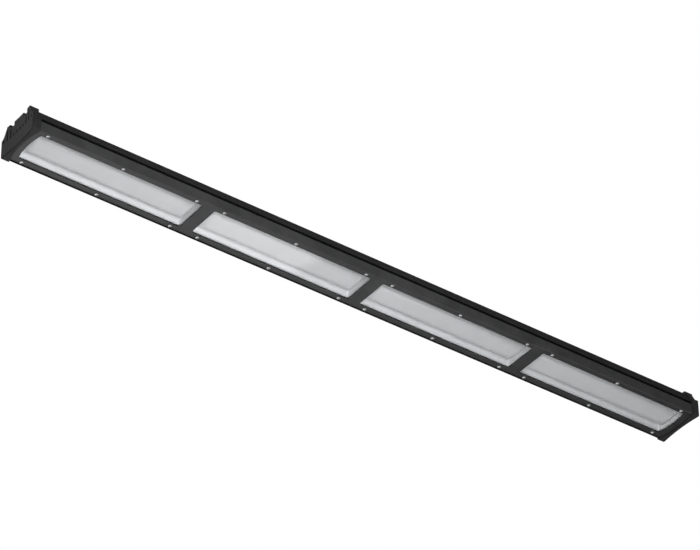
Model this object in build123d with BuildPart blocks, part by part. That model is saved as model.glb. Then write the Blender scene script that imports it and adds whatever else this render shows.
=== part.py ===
"""Linear industrial LED light, 1.2 m class, built as an assembly of separate pieces.

Frame of the part, in millimetres:
X runs along the length, Y across, Z up as the light hangs, so the lit face looks down.
The origin is under the middle of the light, level with the undersides of the end caps.
"""

import os
from math import atan2, degrees, sqrt

from build123d import *

os.makedirs("parts", exist_ok=True)

# Overall sizes
overall_length = 1200.0
end_cap_height = 49.0

# Modules and the frame that holds their covers
module_count = 4
module_margin = 6.4
divider_width = 20.4
window_side_margin = 10.9
window_corner_radius = 3.0
end_frame_width = 18.0
end_arc_radius = 128.0
plate_side_margin = 1.7
plate_thickness = 2.0
plate_level = 3.4

# Cover screws, M3 pan heads
cover_screw_inset = 23.6
cover_screw_side_margin = 6.0
cover_screw_columns = 3
cover_screw_diameter = 3.0
cover_screw_length = 8.0
cover_screw_head_diameter = 5.6
cover_screw_head_height = 1.7
cover_screw_drive = 2.0
cover_screw_drive_depth = 0.9

# Stack behind the frame
gasket_thickness = 0.6
gasket_border = 2.0
cover_thickness = 2.0
cover_overlap = 2.2
tray_depth = 9.0
tray_flange = 1.0
tray_wall = 0.9
tray_overlap = 2.4
tray_side_slope = 5.0
tray_end_slope = 2.4
board_thickness = 1.5
board_side_margin = 2.0
board_end_margin = 4.0

# Diffusing optic over each board
optic_height = 8.1
optic_side_margin = 4.8
optic_side_slope = 9.0
optic_end_margin = 4.6
optic_end_slope = 6.5
optic_corner_radius = 9.0
optic_edge_radius = 3.0
optic_wall = 1.5

# Light sources
chip_rows = 2
chip_columns = 22
chip_row_spacing = 16.0
chip_end_margin = 5.3
chip_length = 3.0
chip_width = 2.8
chip_height = 0.7

# Heat-sink housing, one extrusion
housing_width = 81.4
lip_thickness = 1.0
lip_drop = 1.9
lip_chamfer = 0.7
shoulder_height = 8.0
bay_side_clearance = 0.3
side_wall = 2.5
web_thickness = 3.0
fin_pitch = 8.0
fin_root = 2.0
fin_tip = 1.4
fin_top_level = 46.5
outer_fin_level = 41.3
groove_height = 3.0
groove_depth = 2.8
groove_back_wall = 1.7
groove_lead = 1.4
flange_thickness = 1.8
shoulder_fin_height = 1.6
air_gap = 5.6

# Driver duct along the spine of the housing
duct_width = 24.0
duct_height = 20.0
duct_wall = 1.6

# End caps, moulded cups that slide over the housing
cap_skirt_length = 13.0
cap_fit = 0.25
cap_side_wall = 2.25
cap_end_wall = 3.2
cap_end_arc_radius = 350.0
cap_lip_arc_gap = 10.7
cap_lip_clearance = 0.4
cap_bottom_chamfer = 2.0
cap_corner_radius = 3.0
cap_side_level = 28.6
cap_knee_half_width = 38.0
cap_knee_level = 31.6
cap_waist_half_width = 35.0
cap_waist_level = 36.0
cap_roof_level = 47.0
lug_outer = 30.0
lug_inner = 22.0
lug_length = 16.0
lug_base_level = 39.5
hanger_hole_diameter = 3.3
hanger_hole_setback = 9.5
notch_level = 42.0
block_half_width = 12.0
block_level = 48.4

# Ventilation slots of the end caps
slot_width = 2.4
slot_bottom_level = 23.2
slot_middle_height = 5.0
slot_outer_heights = (16.0, 20.0, 6.0)

# End cap fixing: guide ribs in the side grooves, each with a latch nose
end_gasket_thickness = 0.8
guide_fit = 0.2
latch_setback = 4.5
latch_length = 4.0
latch_ramp = 1.8
latch_depth = 1.0
latch_height = 1.8
latch_slack = 0.2

# Driver
driver_start = 40.0
driver_case_wall = 1.0
driver_fit = 0.3
driver_headroom = 1.0
driver_board_thickness = 1.6
driver_board_lift = 2.4
core_length = 20.0
core_width = 16.0
core_height = 8.4
core_window_length = 11.0
core_window_width = 8.0
core_pitch = 130.0
winding_gap = 0.3
capacitor_diameter = 7.6
capacitor_length = 16.0
capacitor_pitch = 22.0
capacitor_count = 3

# Cable inlet, an M12 gland on top of the duct
gland_setback = 60.0
gland_thread = 12.0
gland_across_flats = 15.0
gland_washer_thickness = 1.0
gland_collar_height = 4.0
gland_neck_height = 7.0
gland_nut_height = 3.5
gland_thread_below = 7.0
gland_dome_height = 8.6
gland_dome_gap = 0.6
gland_dome_radius = 1.5
gland_bore = 9.6
gland_seal_bore = 7.0
gland_seal_height = 7.0
gland_mouth = 8.0

# Internal wiring
wire_diameter = 1.6
wire_bend = 8.0
wire_spacing = 3.0
wire_tail = 14.0
jumper_diameter = 1.2
bushing_diameter = 9.0
bushing_wall = 1.6
bushing_rim = 1.5
bushing_rim_height = 1.0
terminal_setback = 100.0
supply_run = 40.0
terminal_length = 26.0
terminal_width = 18.0
terminal_height = 11.0
terminal_ways = 3
terminal_pitch = 5.6
terminal_hole = 2.4
terminal_screw_diameter = 3.2

# Working clearances
thread_gap = 0.05
slide_gap = 0.3
clearance_hole = 0.4

# Levels that follow from the stack
gasket_level = plate_level + plate_thickness
cover_level = gasket_level + gasket_thickness
tray_level = cover_level + cover_thickness
floor_level = tray_level + tray_depth
board_level = floor_level + tray_wall
web_level = board_level + board_thickness
web_top = web_level + web_thickness
duct_level = web_top + air_gap
duct_top = duct_level + duct_height
duct_inside = duct_level + duct_wall
duct_ceiling = duct_top - duct_wall
lip_level = plate_level - lip_drop
groove_level = web_level + groove_lead
flange_level = groove_level + groove_height

# Widths that follow from the housing's, which the frame, the windows, the optics and the caps share
housing_half = housing_width / 2
plate_width = housing_width - 2 * plate_side_margin
cover_screw_row = housing_half - cover_screw_side_margin
window_width = housing_width - 2 * window_side_margin
window_half = window_width / 2
optic_base_width = window_width - 2 * (tray_side_slope + optic_side_margin)
optic_top_width = optic_base_width - 2 * optic_side_slope
board_width = optic_base_width + 2 * board_side_margin
bay_half = window_half + tray_overlap + bay_side_clearance
cap_inner_half = housing_half + cap_fit
cap_half = cap_inner_half + cap_side_wall
end_cap_width = 2 * cap_half
groove_back = housing_half - groove_depth
groove_middle = groove_level + groove_height / 2
guide_inner = groove_back + guide_fit

# Places along the length that follow from the overall length
half_length = overall_length / 2
module_pitch = (overall_length - 2 * module_margin) / module_count
cover_screw_pitch = (module_pitch - 2 * cover_screw_inset) / (cover_screw_columns - 1)
gland_position = half_length - gland_setback
terminal_start = gland_position - terminal_setback
driver_end = terminal_start - supply_run
driver_length = driver_end - driver_start
cap_rounding_reach = sqrt((cap_end_arc_radius + cap_corner_radius) ** 2 - (cap_half - cap_corner_radius) ** 2)
cap_face = half_length - cap_end_arc_radius - cap_corner_radius + cap_rounding_reach
cap_inner_face = cap_face - cap_end_wall
housing_end = cap_inner_face - end_gasket_thickness
plate_end = housing_end - slide_gap
skirt_edge = half_length - cap_skirt_length
lug_edge = half_length - lug_length
trim_start = skirt_edge - slide_gap
window_reach = half_length - end_frame_width
end_arc_centre = window_reach - end_arc_radius
cap_lip_radius = end_arc_radius + cap_lip_arc_gap

module_centres = [(k - (module_count - 1) / 2) * module_pitch for k in range(module_count)]
cover_screw_places = [
    (centre + (column - (cover_screw_columns - 1) / 2) * cover_screw_pitch, side * cover_screw_row)
    for centre in module_centres
    for column in range(cover_screw_columns)
    for side in (-1, 1)
]


def window_ends(index, grow):
    """Left and right end of a module's window along X, each moved outward by grow."""
    left = module_centres[index] - (module_pitch - divider_width) / 2
    right = module_centres[index] + (module_pitch - divider_width) / 2
    if index == 0:
        left = -window_reach
    if index == module_count - 1:
        right = window_reach
    return left - grow, right + grow


def window_face(index, grow_x, grow_y, level, radius):
    """The window outline of a module at a level, widened along and across, with rounded corners."""
    left, right = window_ends(index, grow_x)
    left_is_arc = index == 0
    right_is_arc = index == module_count - 1
    half = window_half + grow_y
    arc_drop = end_arc_radius + grow_x - sqrt((end_arc_radius + grow_x) ** 2 - half**2)
    left_corner = left + arc_drop if left_is_arc else left
    right_corner = right - arc_drop if right_is_arc else right
    with BuildSketch(Plane.XY.offset(level)) as outline:
        with BuildLine():
            Line((left_corner, -half), (right_corner, -half))
            if right_is_arc:
                ThreePointArc((right_corner, -half), (right, 0), (right_corner, half))
            else:
                Line((right_corner, -half), (right_corner, half))
            Line((right_corner, half), (left_corner, half))
            if left_is_arc:
                ThreePointArc((left_corner, half), (left, 0), (left_corner, -half))
            else:
                Line((left_corner, half), (left_corner, -half))
        make_face()
        fillet(outline.vertices(), radius)
    return outline.sketch


def mirrored_outline(half_points):
    """Both halves of a closed outline across Y, from its points on the positive side."""
    other_half = [(-y, z) for y, z in reversed(half_points)]
    return half_points + other_half


def finish(piece, node):
    """Label a finished piece and write it under its node's name."""
    piece.part.label = node
    export_step(piece.part, f"parts/{node}.step")


# Housing: one aluminium extrusion with lips, shoulders, web, fins and the driver duct
fin_steps = int((housing_half - fin_pitch / 2) // fin_pitch)
with BuildPart() as housing:
    with BuildSketch(Plane.YZ):
        for side in (-1, 1):
            shoulder_middle = side * (housing_half + bay_half) / 2
            with Locations((shoulder_middle, gasket_level + shoulder_height / 2)):
                Rectangle(housing_half - bay_half, shoulder_height)
            with BuildLine():
                lip_inside = housing_half - lip_thickness
                Polyline(
                    (side * lip_inside, gasket_level + lip_thickness),
                    (side * lip_inside, lip_level),
                    (side * (housing_half - lip_chamfer), lip_level),
                    (side * housing_half, lip_level + lip_chamfer),
                    (side * housing_half, gasket_level + lip_thickness),
                    close=True,
                )
            make_face()
            wall_middle = side * (housing_half - side_wall / 2)
            with Locations((wall_middle, (gasket_level + groove_level) / 2)):
                Rectangle(side_wall, groove_level - gasket_level)
            back_middle = side * (housing_half - groove_depth - groove_back_wall / 2)
            with Locations((back_middle, (web_level + flange_level + flange_thickness) / 2)):
                Rectangle(groove_back_wall, flange_level + flange_thickness - web_level)
            flange_middle = side * (housing_half - (groove_depth + groove_back_wall) / 2)
            with Locations((flange_middle, flange_level + flange_thickness / 2)):
                Rectangle(groove_depth + groove_back_wall, flange_thickness)
            with Locations((side * (housing_half - fin_tip / 2), flange_level + flange_thickness)):
                Rectangle(fin_tip, shoulder_fin_height, align=(Align.CENTER, Align.MIN))
        with Locations((0, web_level + web_thickness / 2)):
            Rectangle(2 * groove_back, web_thickness)
        with Locations((0, web_level + groove_lead / 2)):
            Rectangle(housing_width, groove_lead)
        with Locations((0, duct_level + duct_height / 2)):
            Rectangle(duct_width, duct_height)
            Rectangle(duct_width - 2 * duct_wall, duct_height - 2 * duct_wall, mode=Mode.SUBTRACT)
        for step in range(-fin_steps, fin_steps + 1):
            fin_place = step * fin_pitch
            if abs(fin_place) < duct_width / 2:
                with Locations((fin_place, web_top)):
                    Rectangle(fin_root, air_gap, align=(Align.CENTER, Align.MIN))
                continue
            fin_level = outer_fin_level if abs(step) == fin_steps else fin_top_level
            fin_height = fin_level - web_top
            fin_angle = degrees(atan2(fin_height, (fin_root - fin_tip) / 2))
            with Locations((fin_place, web_top)):
                Trapezoid(fin_root, fin_height, fin_angle, align=(Align.CENTER, Align.MIN))
    extrude(amount=housing_end, both=True)

    # The caps slide on where the lips and the fins are milled back
    trim_length = housing_end - trim_start + slide_gap
    trim_middle = trim_start + trim_length / 2
    for end in (-1, 1):
        with BuildSketch(Plane.XY.offset(lip_level - slide_gap)):
            with Locations((end * trim_middle, 0)):
                Rectangle(trim_length, housing_width + slide_gap)
        extrude(amount=plate_level - lip_level + slide_gap, mode=Mode.SUBTRACT)
        with BuildSketch(Plane.XY.offset(flange_level + flange_thickness)):
            for side in (-1, 1):
                inner = duct_width / 2 + slide_gap
                outer = housing_half + slide_gap
                with Locations((end * trim_middle, side * (inner + outer) / 2)):
                    Rectangle(trim_length, outer - inner)
        extrude(amount=end_cap_height, mode=Mode.SUBTRACT)
        with BuildSketch(Plane.XY.offset(lug_base_level - slide_gap)):
            lug_pocket = trim_start - lug_edge + slide_gap
            for side in (-1, 1):
                with Locations((end * (trim_start - lug_pocket / 2), side * (lug_inner + lug_outer) / 2)):
                    Rectangle(lug_pocket, lug_outer - lug_inner + 2 * slide_gap)
        extrude(amount=end_cap_height, mode=Mode.SUBTRACT)

    # Tapped holes for the cover screws, and a pocket in each groove for a cap's latch nose
    tapped_depth = cover_screw_length - plate_thickness + slide_gap
    with BuildSketch(Plane.XY.offset(gasket_level)):
        with Locations(*cover_screw_places):
            Circle(cover_screw_diameter / 2 + thread_gap)
    extrude(amount=tapped_depth, mode=Mode.SUBTRACT)
    latch_places = [(end * (skirt_edge + latch_setback), groove_middle) for end in (-1, 1)]
    for side in (-1, 1):
        with BuildSketch(Plane.XZ.offset(-side * groove_back)):
            with Locations(*latch_places):
                Rectangle(latch_length + 2 * latch_slack, latch_height + 2 * latch_slack)
        extrude(amount=side * (latch_depth + latch_slack), mode=Mode.SUBTRACT)

    # Wire way from the duct to the boards, and the hole of the cable gland
    with BuildSketch(Plane.XY.offset(web_level)):
        Circle(bushing_diameter / 2)
    extrude(amount=duct_inside - web_level, mode=Mode.SUBTRACT)
    with BuildSketch(Plane.XY.offset(duct_ceiling)):
        with Locations((gland_position, 0)):
            Circle(gland_thread / 2 + thread_gap)
    extrude(amount=duct_wall, mode=Mode.SUBTRACT)
finish(housing, "housing")

# Front plate: pressed frame with four windows and its screw holes
with BuildPart() as front_plate:
    with BuildSketch(Plane.XY.offset(plate_level)):
        Rectangle(2 * plate_end, plate_width)
        with Locations(*cover_screw_places):
            Circle((cover_screw_diameter + clearance_hole) / 2, mode=Mode.SUBTRACT)
    extrude(amount=plate_thickness)
    for index in range(module_count):
        extrude(window_face(index, 0, 0, plate_level, window_corner_radius),
                amount=plate_thickness, mode=Mode.SUBTRACT)
finish(front_plate, "front_plate")

# One set of sealing, cover, tray, board, chips and optic behind each window
for index in range(module_count):
    number = index + 1
    left, right = window_ends(index, 0)
    window_middle = (left + right) / 2
    window_length = right - left

    with BuildPart() as cover_gasket:
        extrude(window_face(index, gasket_border, gasket_border, gasket_level, window_corner_radius),
                amount=gasket_thickness)
        extrude(window_face(index, slide_gap, slide_gap, gasket_level, window_corner_radius),
                amount=gasket_thickness, mode=Mode.SUBTRACT)
    finish(cover_gasket, f"cover_gasket_{number}")

    with BuildPart() as cover_glass:
        extrude(window_face(index, cover_overlap, cover_overlap, cover_level, window_corner_radius),
                amount=cover_thickness)
    finish(cover_glass, f"cover_glass_{number}")

    # Tray: a thin flanged pan with sloping walls and a slot for the light sources
    slot_length = window_length - 2 * (optic_end_margin + optic_end_slope)
    chip_pitch = (slot_length - 2 * chip_end_margin) / (chip_columns - 1)
    with BuildPart() as reflector_tray:
        extrude(window_face(index, tray_overlap, tray_overlap, tray_level, window_corner_radius),
                amount=tray_flange)
        outer_mouth = window_face(index, tray_wall, tray_wall, tray_level, window_corner_radius)
        outer_floor = window_face(index, tray_wall - tray_end_slope, tray_wall - tray_side_slope,
                                  board_level, window_corner_radius)
        loft([outer_mouth.face(), outer_floor.face()], ruled=True)
        inner_mouth = window_face(index, 0, 0, tray_level, window_corner_radius)
        inner_floor = window_face(index, -tray_end_slope, -tray_side_slope, floor_level,
                                  window_corner_radius)
        loft([inner_mouth.face(), inner_floor.face()], ruled=True, mode=Mode.SUBTRACT)
        with BuildSketch(Plane.XY.offset(floor_level)):
            with Locations((window_middle, 0)):
                Rectangle(slot_length, optic_top_width)
        extrude(amount=tray_wall, mode=Mode.SUBTRACT)
    finish(reflector_tray, f"reflector_tray_{number}")

    # Optic: a hollow moulded dome strip with rounded ends, open towards the board
    base_length = window_length - 2 * optic_end_margin
    with BuildPart() as optic_bar:
        with BuildSketch(Plane.XY.offset(floor_level)):
            with Locations((window_middle, 0)):
                RectangleRounded(base_length, optic_base_width, optic_corner_radius)
        with BuildSketch(Plane.XY.offset(floor_level - optic_height)):
            with Locations((window_middle, 0)):
                RectangleRounded(base_length - 2 * optic_end_slope, optic_top_width,
                                 optic_corner_radius - optic_edge_radius)
        loft()
        fillet(optic_bar.faces().sort_by(Axis.Z)[0].edges(), optic_edge_radius)
        with BuildSketch(Plane.XY.offset(floor_level)):
            with Locations((window_middle, 0)):
                RectangleRounded(base_length - 4 * optic_wall, optic_base_width - 4 * optic_wall,
                                 optic_corner_radius - 2 * optic_wall)
        with BuildSketch(Plane.XY.offset(floor_level - optic_height + optic_wall)):
            with Locations((window_middle, 0)):
                RectangleRounded(base_length - 2 * optic_end_slope - 2 * optic_wall,
                                 optic_top_width - 2 * optic_wall, optic_wall)
        loft(mode=Mode.SUBTRACT)
    finish(optic_bar, f"optic_bar_{number}")

    with BuildPart() as led_board:
        with BuildSketch(Plane.XY.offset(board_level)):
            with Locations((window_middle, 0)):
                Rectangle(window_length - 2 * board_end_margin, board_width)
        extrude(amount=board_thickness)
    finish(led_board, f"led_board_{number}")

    with BuildPart() as led_chips:
        with BuildSketch(Plane.XY.offset(board_level - chip_height)):
            with Locations((window_middle, 0)):
                with GridLocations(chip_pitch, chip_row_spacing, chip_columns, chip_rows):
                    Rectangle(chip_length, chip_width)
        extrude(amount=chip_height)
    finish(led_chips, f"led_chips_{number}")

# Cover screws: pan heads with a hexagon socket
with BuildPart() as cover_screws:
    with BuildSketch(Plane.XY.offset(plate_level - cover_screw_head_height)):
        with Locations(*cover_screw_places):
            Circle(cover_screw_head_diameter / 2)
    extrude(amount=cover_screw_head_height)
    fillet(cover_screws.faces().group_by(Axis.Z)[0].edges(), cover_screw_head_height / 3)
    with BuildSketch(Plane.XY.offset(plate_level)):
        with Locations(*cover_screw_places):
            Circle(cover_screw_diameter / 2)
    extrude(amount=cover_screw_length)
    with BuildSketch(Plane.XY.offset(plate_level - cover_screw_head_height)):
        with Locations(*cover_screw_places):
            RegularPolygon(cover_screw_drive / 2, 6)
    extrude(amount=cover_screw_drive_depth, mode=Mode.SUBTRACT)
finish(cover_screws, "cover_screws")

# End caps, with their gaskets: the plan, the end outline and the cavity make the cup
cap_wall = cap_half - cap_inner_half
cap_outline = mirrored_outline([
    (cap_half, 0),
    (cap_half, cap_side_level),
    (cap_knee_half_width, cap_knee_level),
    (cap_waist_half_width, cap_waist_level),
    (lug_outer, cap_roof_level),
    (lug_outer, end_cap_height),
    (lug_inner, end_cap_height),
    (lug_inner, notch_level),
    (block_half_width, notch_level),
    (block_half_width, block_level),
])
cap_cavity = mirrored_outline([
    (cap_inner_half, plate_level - cap_lip_clearance),
    (cap_inner_half, cap_side_level - cap_wall),
    (cap_knee_half_width - cap_wall, cap_knee_level - cap_wall / 2),
    (cap_waist_half_width - cap_wall, cap_waist_level - cap_wall / 2),
    (lug_outer - cap_wall, end_cap_height + slide_gap),
])
cap_arc_centre = cap_face + cap_end_arc_radius
cap_arc_corner = cap_arc_centre - sqrt(cap_end_arc_radius**2 - cap_half**2)
slot_places = [(step + 0.5) * fin_pitch for step in range(int(cap_waist_half_width // fin_pitch) + 1)]
middle_slots = slot_places[:-len(slot_outer_heights)]
outer_slots = slot_places[-len(slot_outer_heights):]
for end, name in ((-1, "left"), (1, "right")):
    with BuildPart() as end_cap:
        with BuildSketch(Plane.XY) as cap_plan:
            with BuildLine():
                Line((end * skirt_edge, -cap_half), (end * cap_arc_corner, -cap_half))
                ThreePointArc((end * cap_arc_corner, -cap_half), (end * cap_face, 0),
                              (end * cap_arc_corner, cap_half))
                Line((end * cap_arc_corner, cap_half), (end * skirt_edge, cap_half))
                Line((end * skirt_edge, cap_half), (end * skirt_edge, -cap_half))
            make_face()
            fillet(cap_plan.vertices().group_by(Axis.X)[-1 if end > 0 else 0], cap_corner_radius)
        extrude(amount=end_cap_height)
        underside_edges = end_cap.faces().sort_by(Axis.Z)[0].edges().sort_by(Axis.X)
        chamfer(underside_edges[1:] if end > 0 else underside_edges[:-1], cap_bottom_chamfer)
        with BuildSketch(Plane.YZ.offset(end * cap_arc_corner)):
            with BuildLine():
                Polyline(*cap_outline, close=True)
            make_face()
        extrude(amount=-end * (cap_arc_corner - skirt_edge), mode=Mode.INTERSECT)
        with BuildSketch(Plane.YZ.offset(end * cap_inner_face)):
            with BuildLine():
                Polyline(*cap_cavity, close=True)
            make_face()
        extrude(amount=-end * cap_skirt_length, mode=Mode.SUBTRACT)
        with BuildSketch(Plane.XY.offset(lug_base_level)):
            for side in (-1, 1):
                lug_middle = (lug_edge + cap_inner_face) / 2
                with Locations((end * lug_middle, side * (lug_inner + lug_outer) / 2)):
                    Rectangle(cap_inner_face - lug_edge, lug_outer - lug_inner)
        extrude(amount=end_cap_height - lug_base_level)
        with BuildSketch(Plane.XY):
            with Locations((end * end_arc_centre, 0)):
                Circle(cap_lip_radius)
        extrude(amount=plate_level - cap_lip_clearance, mode=Mode.SUBTRACT)
        with BuildSketch(Plane.YZ.offset(end * half_length)):
            for place in middle_slots:
                with Locations((place, slot_bottom_level), (-place, slot_bottom_level)):
                    Rectangle(slot_width, slot_middle_height, align=(Align.CENTER, Align.MIN))
            for place, height in zip(outer_slots, slot_outer_heights):
                with Locations((place, slot_bottom_level), (-place, slot_bottom_level)):
                    Rectangle(slot_width, height, align=(Align.CENTER, Align.MIN))
        extrude(amount=-end * (half_length - cap_inner_face), mode=Mode.SUBTRACT)
        with BuildSketch(Plane.XY.offset(lug_base_level)):
            for side in (-1, 1):
                hole_place = (end * (half_length - hanger_hole_setback), side * (lug_inner + lug_outer) / 2)
                with Locations(hole_place):
                    Circle(hanger_hole_diameter / 2)
        extrude(amount=end_cap_height - lug_base_level, mode=Mode.SUBTRACT)

        # Guide ribs and latch noses
        with BuildSketch(Plane.XY.offset(groove_level + guide_fit)):
            for side in (-1, 1):
                guide_middle = ((skirt_edge + cap_inner_face) / 2, (guide_inner + cap_inner_half) / 2)
                with Locations((end * guide_middle[0], side * guide_middle[1])):
                    Rectangle(cap_inner_face - skirt_edge, cap_inner_half - guide_inner)
        extrude(amount=groove_height - 2 * guide_fit)
        latch_inner = guide_inner - guide_fit - latch_depth
        latch_start = skirt_edge + latch_setback - latch_length / 2
        latch_stop = latch_start + latch_length
        with BuildSketch(Plane.XY.offset(groove_middle - latch_height / 2)):
            for side in (-1, 1):
                with BuildLine():
                    Polyline(
                        (end * latch_start, side * guide_inner),
                        (end * (latch_start + latch_ramp), side * latch_inner),
                        (end * latch_stop, side * latch_inner),
                        (end * latch_stop, side * guide_inner),
                        close=True,
                    )
                make_face()
        extrude(amount=latch_height)
    finish(end_cap, f"end_cap_{name}")

    with BuildPart() as end_gasket:
        with BuildSketch(Plane.YZ.offset(end * housing_end)):
            with Locations((0, (gasket_level + groove_level) / 2)):
                Rectangle(housing_width - side_wall, groove_level - gasket_level)
            with Locations((0, (groove_level + web_top) / 2)):
                Rectangle(2 * (groove_back - slide_gap), web_top - groove_level)
            with Locations((0, (web_top + duct_level) / 2)):
                Rectangle(fin_root, air_gap)
            with Locations((0, duct_level + duct_height / 2)):
                Rectangle(duct_width, duct_height)
        extrude(amount=end * end_gasket_thickness)
    finish(end_gasket, f"end_gasket_{name}")

# Driver in the duct: a sleeve, its board, two wound cores and the capacitors
duct_inner_width = duct_width - 2 * duct_wall
case_width = duct_inner_width - 2 * driver_fit
case_height = duct_ceiling - duct_inside - driver_headroom
case_inner_width = case_width - 2 * driver_case_wall
driver_middle = driver_start + driver_length / 2
driver_board_level = duct_inside + driver_case_wall + driver_board_lift
parts_level = driver_board_level + driver_board_thickness
with BuildPart() as driver_case:
    with BuildSketch(Plane.YZ.offset(driver_start)):
        with Locations((0, duct_inside + case_height / 2)):
            RectangleRounded(case_width, case_height, driver_case_wall)
            Rectangle(case_inner_width, case_height - 2 * driver_case_wall, mode=Mode.SUBTRACT)
    extrude(amount=driver_length)
finish(driver_case, "driver_case")

with BuildPart() as driver_board:
    with BuildSketch(Plane.XY.offset(driver_board_level)):
        with Locations((driver_middle, 0)):
            Rectangle(driver_length - 2 * driver_board_lift, case_inner_width)
    extrude(amount=driver_board_thickness)
finish(driver_board, "driver_board")

core_places = [(driver_middle + side * core_pitch / 2, 0) for side in (-1, 1)]
with BuildPart() as driver_cores:
    with BuildSketch(Plane.XY.offset(parts_level)):
        with Locations(*core_places):
            Rectangle(core_length, core_width)
            Rectangle(core_window_length, core_window_width, mode=Mode.SUBTRACT)
    extrude(amount=core_height)
finish(driver_cores, "driver_cores")

with BuildPart() as driver_windings:
    with BuildSketch(Plane.XY.offset(parts_level)):
        with Locations(*core_places):
            RectangleRounded(core_window_length - 2 * winding_gap,
                             core_window_width - 2 * winding_gap, core_window_width / 4)
    extrude(amount=core_height)
finish(driver_windings, "driver_windings")

with BuildPart() as driver_capacitors:
    for step in range(capacitor_count):
        shift = (step - (capacitor_count - 1) / 2) * capacitor_pitch
        with BuildSketch(Plane.YZ.offset(driver_middle + shift - capacitor_length / 2)):
            with Locations((0, parts_level + capacitor_diameter / 2)):
                Circle(capacitor_diameter / 2)
        extrude(amount=capacitor_length)
finish(driver_capacitors, "driver_capacitors")

# Terminal block beside the inlet, its clamp screws and the wires to the driver
wire_level = parts_level + wire_diameter / 2
way_places = [(way - (terminal_ways - 1) / 2) * terminal_pitch for way in range(terminal_ways)]
terminal_middle = terminal_start + terminal_length / 2
terminal_top = duct_inside + terminal_height
with BuildPart() as terminal_block:
    with BuildSketch(Plane.XY.offset(duct_inside)):
        with Locations((terminal_middle, 0)):
            Rectangle(terminal_length, terminal_width)
    extrude(amount=terminal_height)
    with BuildSketch(Plane.YZ.offset(terminal_start)):
        with Locations(*[(place, wire_level) for place in way_places]):
            Circle(terminal_hole / 2)
    extrude(amount=terminal_length, mode=Mode.SUBTRACT)
    with BuildSketch(Plane.XY.offset(terminal_top)):
        with Locations(*[(terminal_middle, place) for place in way_places]):
            Circle(terminal_screw_diameter / 2)
    extrude(amount=wire_level - terminal_top, mode=Mode.SUBTRACT)
finish(terminal_block, "terminal_block")

with BuildPart() as terminal_screws:
    with BuildSketch(Plane.XY.offset(wire_level + wire_diameter / 2)):
        with Locations(*[(terminal_middle, place) for place in way_places]):
            Circle(terminal_screw_diameter / 2 - thread_gap)
    extrude(amount=terminal_top - wire_level - wire_diameter / 2)
finish(terminal_screws, "terminal_screws")

with BuildPart() as supply_wires:
    with BuildSketch(Plane.YZ.offset(driver_end - wire_tail)):
        with Locations(*[(place, wire_level) for place in way_places]):
            Circle(wire_diameter / 2)
    extrude(amount=terminal_middle + terminal_screw_diameter - driver_end + wire_tail)
finish(supply_wires, "supply_wires")

# Feed from the driver through the bushing to the boards, and the jumpers under the dividers
jumper_level = board_level + board_thickness / 2
jumper_half = divider_width / 2 + board_end_margin
with BuildPart() as board_jumpers:
    for divider in range(1, module_count):
        divider_place = (divider - module_count / 2) * module_pitch
        with BuildSketch(Plane.YZ.offset(divider_place - jumper_half)):
            with Locations(*[(side * wire_spacing / 2, jumper_level) for side in (-1, 1)]):
                Circle(jumper_diameter / 2)
        extrude(amount=2 * jumper_half)
finish(board_jumpers, "board_jumpers")

with BuildPart() as feed_wires:
    for side in (-1, 1):
        with BuildLine(Plane.XZ.offset(-side * wire_spacing / 2)) as feed_path:
            FilletPolyline(
                (driver_start + wire_tail, wire_level),
                (0, wire_level),
                (0, jumper_level + jumper_diameter / 2),
                radius=wire_bend,
            )
        with BuildSketch(Plane.YZ.offset(driver_start + wire_tail)):
            with Locations((side * wire_spacing / 2, wire_level)):
                Circle(wire_diameter / 2)
        sweep(path=feed_path.line)
finish(feed_wires, "feed_wires")

with BuildPart() as feed_bushing:
    with BuildSketch(Plane.XY.offset(web_level)):
        Circle(bushing_diameter / 2)
    extrude(amount=duct_inside - web_level)
    with BuildSketch(Plane.XY.offset(duct_inside)):
        Circle(bushing_diameter / 2 + bushing_rim)
    extrude(amount=bushing_rim_height)
    with BuildSketch(Plane.XY.offset(web_level)):
        Circle(bushing_diameter / 2 - bushing_wall)
    extrude(amount=duct_inside - web_level + bushing_rim_height, mode=Mode.SUBTRACT)
finish(feed_bushing, "feed_bushing")

# Cable gland: washer, body, lock nut, seal and dome nut on one upright axis
gland_centre = (gland_position, 0)
washer_top = duct_top + gland_washer_thickness
collar_top = washer_top + gland_collar_height
neck_top = collar_top + gland_neck_height
dome_level = collar_top + gland_dome_gap
with BuildPart() as gland_washer:
    with BuildSketch(Plane.XY.offset(duct_top)):
        with Locations(gland_centre):
            Circle(gland_across_flats / 2)
            Circle(gland_thread / 2 + thread_gap, mode=Mode.SUBTRACT)
    extrude(amount=gland_washer_thickness)
finish(gland_washer, "gland_washer")

with BuildPart() as gland_body:
    with BuildSketch(Plane.XY.offset(washer_top)):
        with Locations(gland_centre):
            RegularPolygon(gland_across_flats / 2, 6, major_radius=False)
    extrude(amount=gland_collar_height)
    with BuildSketch(Plane.XY.offset(washer_top - gland_thread_below)):
        with Locations(gland_centre):
            Circle(gland_thread / 2)
    extrude(amount=neck_top - washer_top + gland_thread_below)
    with BuildSketch(Plane.XY.offset(washer_top - gland_thread_below)):
        with Locations(gland_centre):
            Circle(gland_bore / 2)
    extrude(amount=neck_top - washer_top + gland_thread_below, mode=Mode.SUBTRACT)
finish(gland_body, "gland_body")

with BuildPart() as gland_locknut:
    with BuildSketch(Plane.XY.offset(duct_ceiling - gland_nut_height)):
        with Locations(gland_centre):
            RegularPolygon(gland_across_flats / 2, 6, major_radius=False)
            Circle(gland_thread / 2 + thread_gap, mode=Mode.SUBTRACT)
    extrude(amount=gland_nut_height)
finish(gland_locknut, "gland_locknut")

with BuildPart() as gland_seal:
    with BuildSketch(Plane.XY.offset(neck_top - gland_seal_height)):
        with Locations(gland_centre):
            Circle(gland_bore / 2)
            Circle(gland_seal_bore / 2, mode=Mode.SUBTRACT)
    extrude(amount=gland_seal_height)
finish(gland_seal, "gland_seal")

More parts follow.
